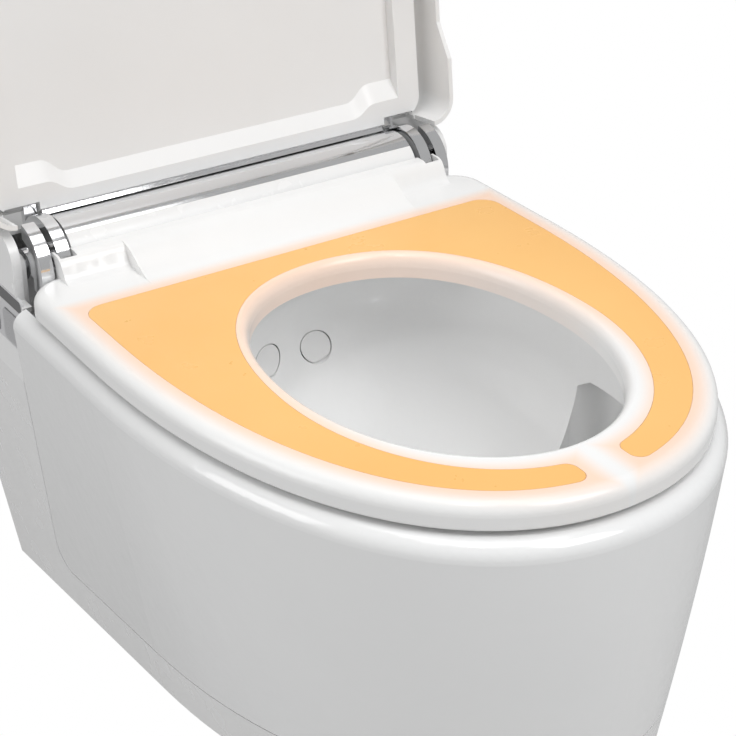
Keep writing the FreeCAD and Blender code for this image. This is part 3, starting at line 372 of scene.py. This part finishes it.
silver, shader = new_finish("button_silver", colour=(0.60, 0.60, 0.61), roughness=0.3)
shader.inputs["Metallic"].default_value = 0.85
surface(silver, shader, tones=((0.62, 0.62, 0.63), (0.55, 0.55, 0.56)), tone_scale=20.0,
        gloss=(0.26, 0.36), gloss_scale=80.0, texture_scale=500.0, depth=0.00004,
        stretch=(1.0, 1.0, 10.0))
dress(silver, "button_1", "button_2", "button_3")

window, shader = new_finish("window_black", colour=(0.012, 0.012, 0.014), roughness=0.08)
shader.inputs["Coat Weight"].default_value = 0.5
surface(window, shader, tones=((0.010, 0.010, 0.012), (0.018, 0.018, 0.020)), tone_scale=30.0,
        gloss=(0.06, 0.14), gloss_scale=50.0, texture_scale=300.0, depth=0.00001)
dress(window, "panel_window")

plate, shader = new_finish("panel_grey", colour=(0.62, 0.62, 0.63), roughness=0.35)
surface(plate, shader, tones=((0.64, 0.64, 0.65), (0.60, 0.60, 0.61)), tone_scale=20.0,
        gloss=(0.3, 0.42), gloss_scale=60.0, texture_scale=900.0, depth=0.00006)
dress(plate, "panel_plate")

# ---- spray arm and dryer arm ------------------------------------------------
# White moulded tubes that slide in grey guides, each closed by a round cap.
# The caps show in the back wall of the bowl.

tube, shader = new_finish("arm_white", colour=(0.84, 0.84, 0.84), roughness=0.2)
surface(tube, shader, tones=((0.85, 0.85, 0.85), (0.82, 0.82, 0.82)), tone_scale=20.0,
        gloss=(0.16, 0.26), gloss_scale=60.0, texture_scale=500.0, depth=0.00003)
dress(tube, "spray_tube", "dryer_tube", "spray_cap", "dryer_cap")

# ---- machinery in the housing -----------------------------------------------
# Moulded cases and motors in grey and black, a steel water tank and its inlet,
# and a green circuit board. All of it is behind the covers.

grey, shader = new_finish("grey_plastic", colour=(0.5, 0.5, 0.51), roughness=0.4)
surface(grey, shader, tones=((0.52, 0.52, 0.53), (0.47, 0.47, 0.48)), tone_scale=25.0,
        gloss=(0.36, 0.5), gloss_scale=70.0, texture_scale=600.0, depth=0.00008)
dress(grey, "arm_guides", "inlet_valve", "odour_filter", "power_supply")

black, shader = new_finish("black_plastic", colour=(0.03, 0.03, 0.032), roughness=0.5)
surface(black, shader, tones=((0.026, 0.026, 0.028), (0.045, 0.045, 0.048)), tone_scale=30.0,
        gloss=(0.42, 0.6), gloss_scale=80.0, texture_scale=700.0, depth=0.0001)
dress(black, "seat_damper", "lid_damper", "spray_motor", "dryer_motor",
      "pump", "blower", "odour_fan", "mains_inlet")

tank, shader = new_finish("tank_steel", colour=(0.6, 0.6, 0.6), roughness=0.3)
shader.inputs["Metallic"].default_value = 1.0
surface(tank, shader, tones=((0.62, 0.62, 0.62), (0.54, 0.54, 0.54)), tone_scale=20.0,
        gloss=(0.24, 0.38), gloss_scale=60.0, texture_scale=350.0, depth=0.00004,
        stretch=(1.0, 1.0, 12.0))
dress(tank, "boiler", "water_inlet")

board, shader = new_finish("circuit_green", colour=(0.02, 0.16, 0.06), roughness=0.35)
surface(board, shader, tones=((0.015, 0.13, 0.05), (0.05, 0.24, 0.09)), tone_scale=260.0,
        gloss=(0.28, 0.45), gloss_scale=300.0, texture_scale=400.0, depth=0.0001)
dress(board, "control_board")

# ---- heating foil ------------------------------------------------------------
# Copper-coloured conductor printed on plastic foil, stuck to the underside of
# the seat top and closed in by the lower shell.

foil, shader = new_finish("heating_foil", colour=(0.62, 0.33, 0.12), roughness=0.4)
surface(foil, shader, tones=((0.66, 0.36, 0.14), (0.52, 0.25, 0.09)), tone_scale=160.0,
        gloss=(0.3, 0.5), gloss_scale=120.0, texture_scale=300.0, depth=0.00008)
dress(foil, "heater_mat")

# ---- stops and sleeves -------------------------------------------------------
# Soft rubber: the stops pressed into the seat and the lid, and the sleeves in
# the bolt holes of the ceramic.

rubber, shader = new_finish("soft_rubber", colour=(0.30, 0.30, 0.31), roughness=0.7)
surface(rubber, shader, tones=((0.32, 0.32, 0.33), (0.26, 0.26, 0.27)), tone_scale=40.0,
        gloss=(0.62, 0.8), gloss_scale=90.0, texture_scale=500.0, depth=0.0001)
dress(rubber, "seat_bumpers", "lid_bumpers", "fixing_sleeves")
